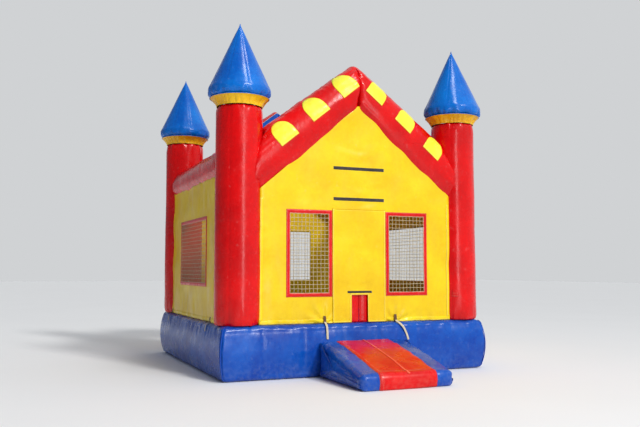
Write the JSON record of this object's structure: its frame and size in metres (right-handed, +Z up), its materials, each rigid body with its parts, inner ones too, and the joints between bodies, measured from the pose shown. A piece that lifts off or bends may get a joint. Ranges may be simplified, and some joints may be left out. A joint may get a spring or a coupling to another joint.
{
  "type": "inflatable bounce house",
  "caption": "Castle-shaped inflatable bounce house with corner towers, gabled front and rear, netted windows, a flap entrance and a ramp.",
  "frame": {"origin": "centre of the mattress footprint on the ground", "axes": "+Z up, -Y towards the entrance and its ramp, +X to the right seen from the front"},
  "size_m": [4.1422, 6.1134, 4.72],
  "materials": {
    "vinyl_blue": "glossy coated vinyl",
    "vinyl_red": "glossy coated vinyl",
    "vinyl_gold": "glossy coated vinyl, gathered",
    "vinyl_bright_blue": "glossy coated vinyl",
    "vinyl_yellow": "coated vinyl panel",
    "vinyl_pale_yellow": "coated vinyl, sewn on",
    "net_cream": "knotted netting",
    "tape_black": "hook-and-loop or zipper tape",
    "webbing_cream": "woven webbing",
    "webbing_brown": "woven webbing",
    "baffle_cloth": "plain woven cloth",
    "metal": "plated steel"
  },
  "bodies": {
    "house": {"anchor_tabs": "webbing_cream", "banner_strips": "tape_black", "base_baffles": "baffle_cloth", "base_mattress": "vinyl_blue", "collar_front_left": "vinyl_gold", "collar_front_right": "vinyl_gold", "collar_rear_left": "vinyl_gold", "collar_rear_right": "vinyl_gold", "column_front_left": "vinyl_red", "column_front_right": "vinyl_red", "column_rear_left": "vinyl_red", "column_rear_right": "vinyl_red", "eave_left": "vinyl_red", "eave_right": "vinyl_red", "gable_front_left": "vinyl_red", "gable_front_right": "vinyl_red", "gable_patches_left": "vinyl_pale_yellow", "gable_patches_right": "vinyl_pale_yellow", "gable_rear_left": "vinyl_red", "gable_rear_right": "vinyl_red", "hem_loops": "webbing_brown", "inflation_sleeve": "vinyl_blue", "ramp": "vinyl_blue", "ramp_baffles": "baffle_cloth", "ramp_tie_straps": "webbing_cream", "ramp_tread": "vinyl_red", "rear_gable_stripes": "vinyl_blue", "side_tie_straps": "webbing_cream", "sleeve_tie_strap": "webbing_cream", "spire_front_left": "vinyl_bright_blue", "spire_front_right": "vinyl_bright_blue", "spire_rear_left": "vinyl_bright_blue", "spire_rear_right": "vinyl_bright_blue", "wall_front": "vinyl_yellow", "wall_left": "vinyl_yellow", "wall_rear": "vinyl_yellow", "wall_right": "vinyl_yellow", "window_border_front_left": "vinyl_red", "window_border_front_right": "vinyl_red", "window_border_left": "vinyl_red", "window_border_rear": "vinyl_red", "window_border_right": "vinyl_red", "window_net_front_left": "net_cream", "window_net_front_right": "net_cream", "window_net_left": "net_cream", "window_net_rear": "net_cream", "window_net_right": "net_cream", "zipper_tape": "tape_black"},
    "entrance_flap": {"door_flap": "vinyl_yellow", "door_strip": "tape_black"},
    "curtain_left": {"entry_curtain_left": "vinyl_red"},
    "curtain_right": {"entry_curtain_right": "vinyl_red"},
    "slider": {"zipper_slider": "metal"},
    "cover": {"zipper_cover": "vinyl_blue"},
    "ring_rear_left": {"anchor_ring_rear_left": "metal"},
    "ring_rear_right": {"anchor_ring_rear_right": "metal"},
    "ring_side_front": {"anchor_ring_side_front": "metal"},
    "ring_side_rear": {"anchor_ring_side_rear": "metal"}
  },
  "joints": [
    {"name": "entrance_flap_swing", "type": "hinge", "parent": "house", "child": "entrance_flap", "pos_m": [0, -1.8879, 2.25], "axis": [-1, 0, 0], "range_deg": [0, 100]},
    {"name": "curtain_left_swing", "type": "hinge", "parent": "house", "child": "curtain_left", "pos_m": [-0.382, -1.8689, 1.45], "axis": [0, 0, 1], "range_deg": [0, 90]},
    {"name": "curtain_right_swing", "type": "hinge", "parent": "house", "child": "curtain_right", "pos_m": [0.382, -1.8689, 1.45], "axis": [0, 0, -1], "range_deg": [0, 90]},
    {"name": "zipper_slide", "type": "slide", "parent": "house", "child": "slider", "axis": [1, 0, 0], "range_m": [0, 0.855]},
    {"name": "zipper_cover_lift", "type": "hinge", "parent": "house", "child": "cover", "pos_m": [-0.7, 1.99095, 0.415], "axis": [1, 0, 0], "range_deg": [0, 150]},
    {"name": "ring_rear_left_swing", "type": "hinge", "parent": "house", "child": "ring_rear_left", "pos_m": [-1.56, 1.97502, 0.095], "axis": [1, 0, 0], "range_deg": [-10, 120]},
    {"name": "ring_rear_right_swing", "type": "hinge", "parent": "house", "child": "ring_rear_right", "pos_m": [1.56, 1.97502, 0.095], "axis": [1, 0, 0], "range_deg": [-10, 120]},
    {"name": "ring_side_front_swing", "type": "hinge", "parent": "house", "child": "ring_side_front", "pos_m": [1.97502, -1.5, 0.095], "axis": [0, -1, 0], "range_deg": [-10, 120]},
    {"name": "ring_side_rear_swing", "type": "hinge", "parent": "house", "child": "ring_side_rear", "pos_m": [1.97502, 1.5, 0.095], "axis": [0, -1, 0], "range_deg": [-10, 120]}
  ]
}
